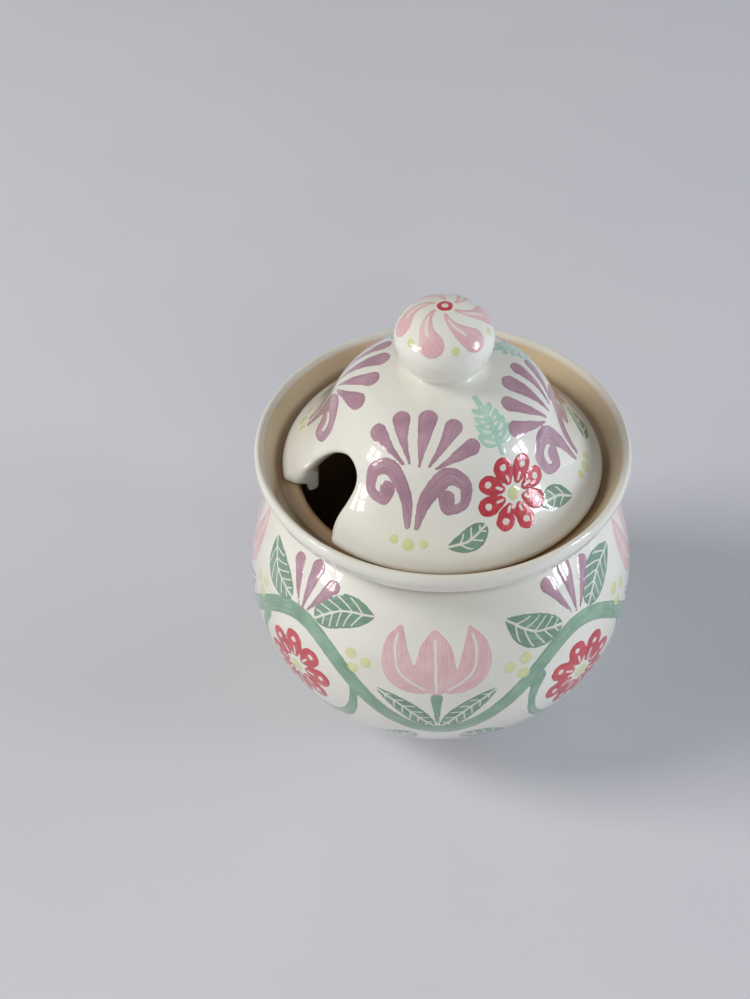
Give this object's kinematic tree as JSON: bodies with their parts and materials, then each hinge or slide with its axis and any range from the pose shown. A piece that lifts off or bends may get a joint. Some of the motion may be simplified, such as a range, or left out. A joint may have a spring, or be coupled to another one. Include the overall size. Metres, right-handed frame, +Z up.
{
  "type": "honey pot",
  "caption": "Round-bellied glazed stoneware honey pot with a flared rim, a seated bell-shaped lid that lifts off, a spoon notch in the lid and a ball knob.",
  "frame": {"origin": "middle of the foot ring, on the surface that the pot stands on", "axes": "+Z up along the pot's axis, -X towards the spoon notch of the lid at rest"},
  "size_m": [0.108, 0.108, 0.1334],
  "materials": {
    "pot_glaze": "clear gloss glaze over painted slip",
    "lid_glaze": "clear gloss glaze over painted slip",
    "knob_glaze": "clear gloss glaze over painted slip"
  },
  "bodies": {
    "pot": {"pot": "pot_glaze"},
    "lid": {"lid": "lid_glaze", "knob": "knob_glaze"}
  },
  "joints": [
    {"name": "lid_lift", "type": "slide", "parent": "pot", "child": "lid", "axis": [0, 0, 1], "range_m": [0, 0.06]}
  ]
}
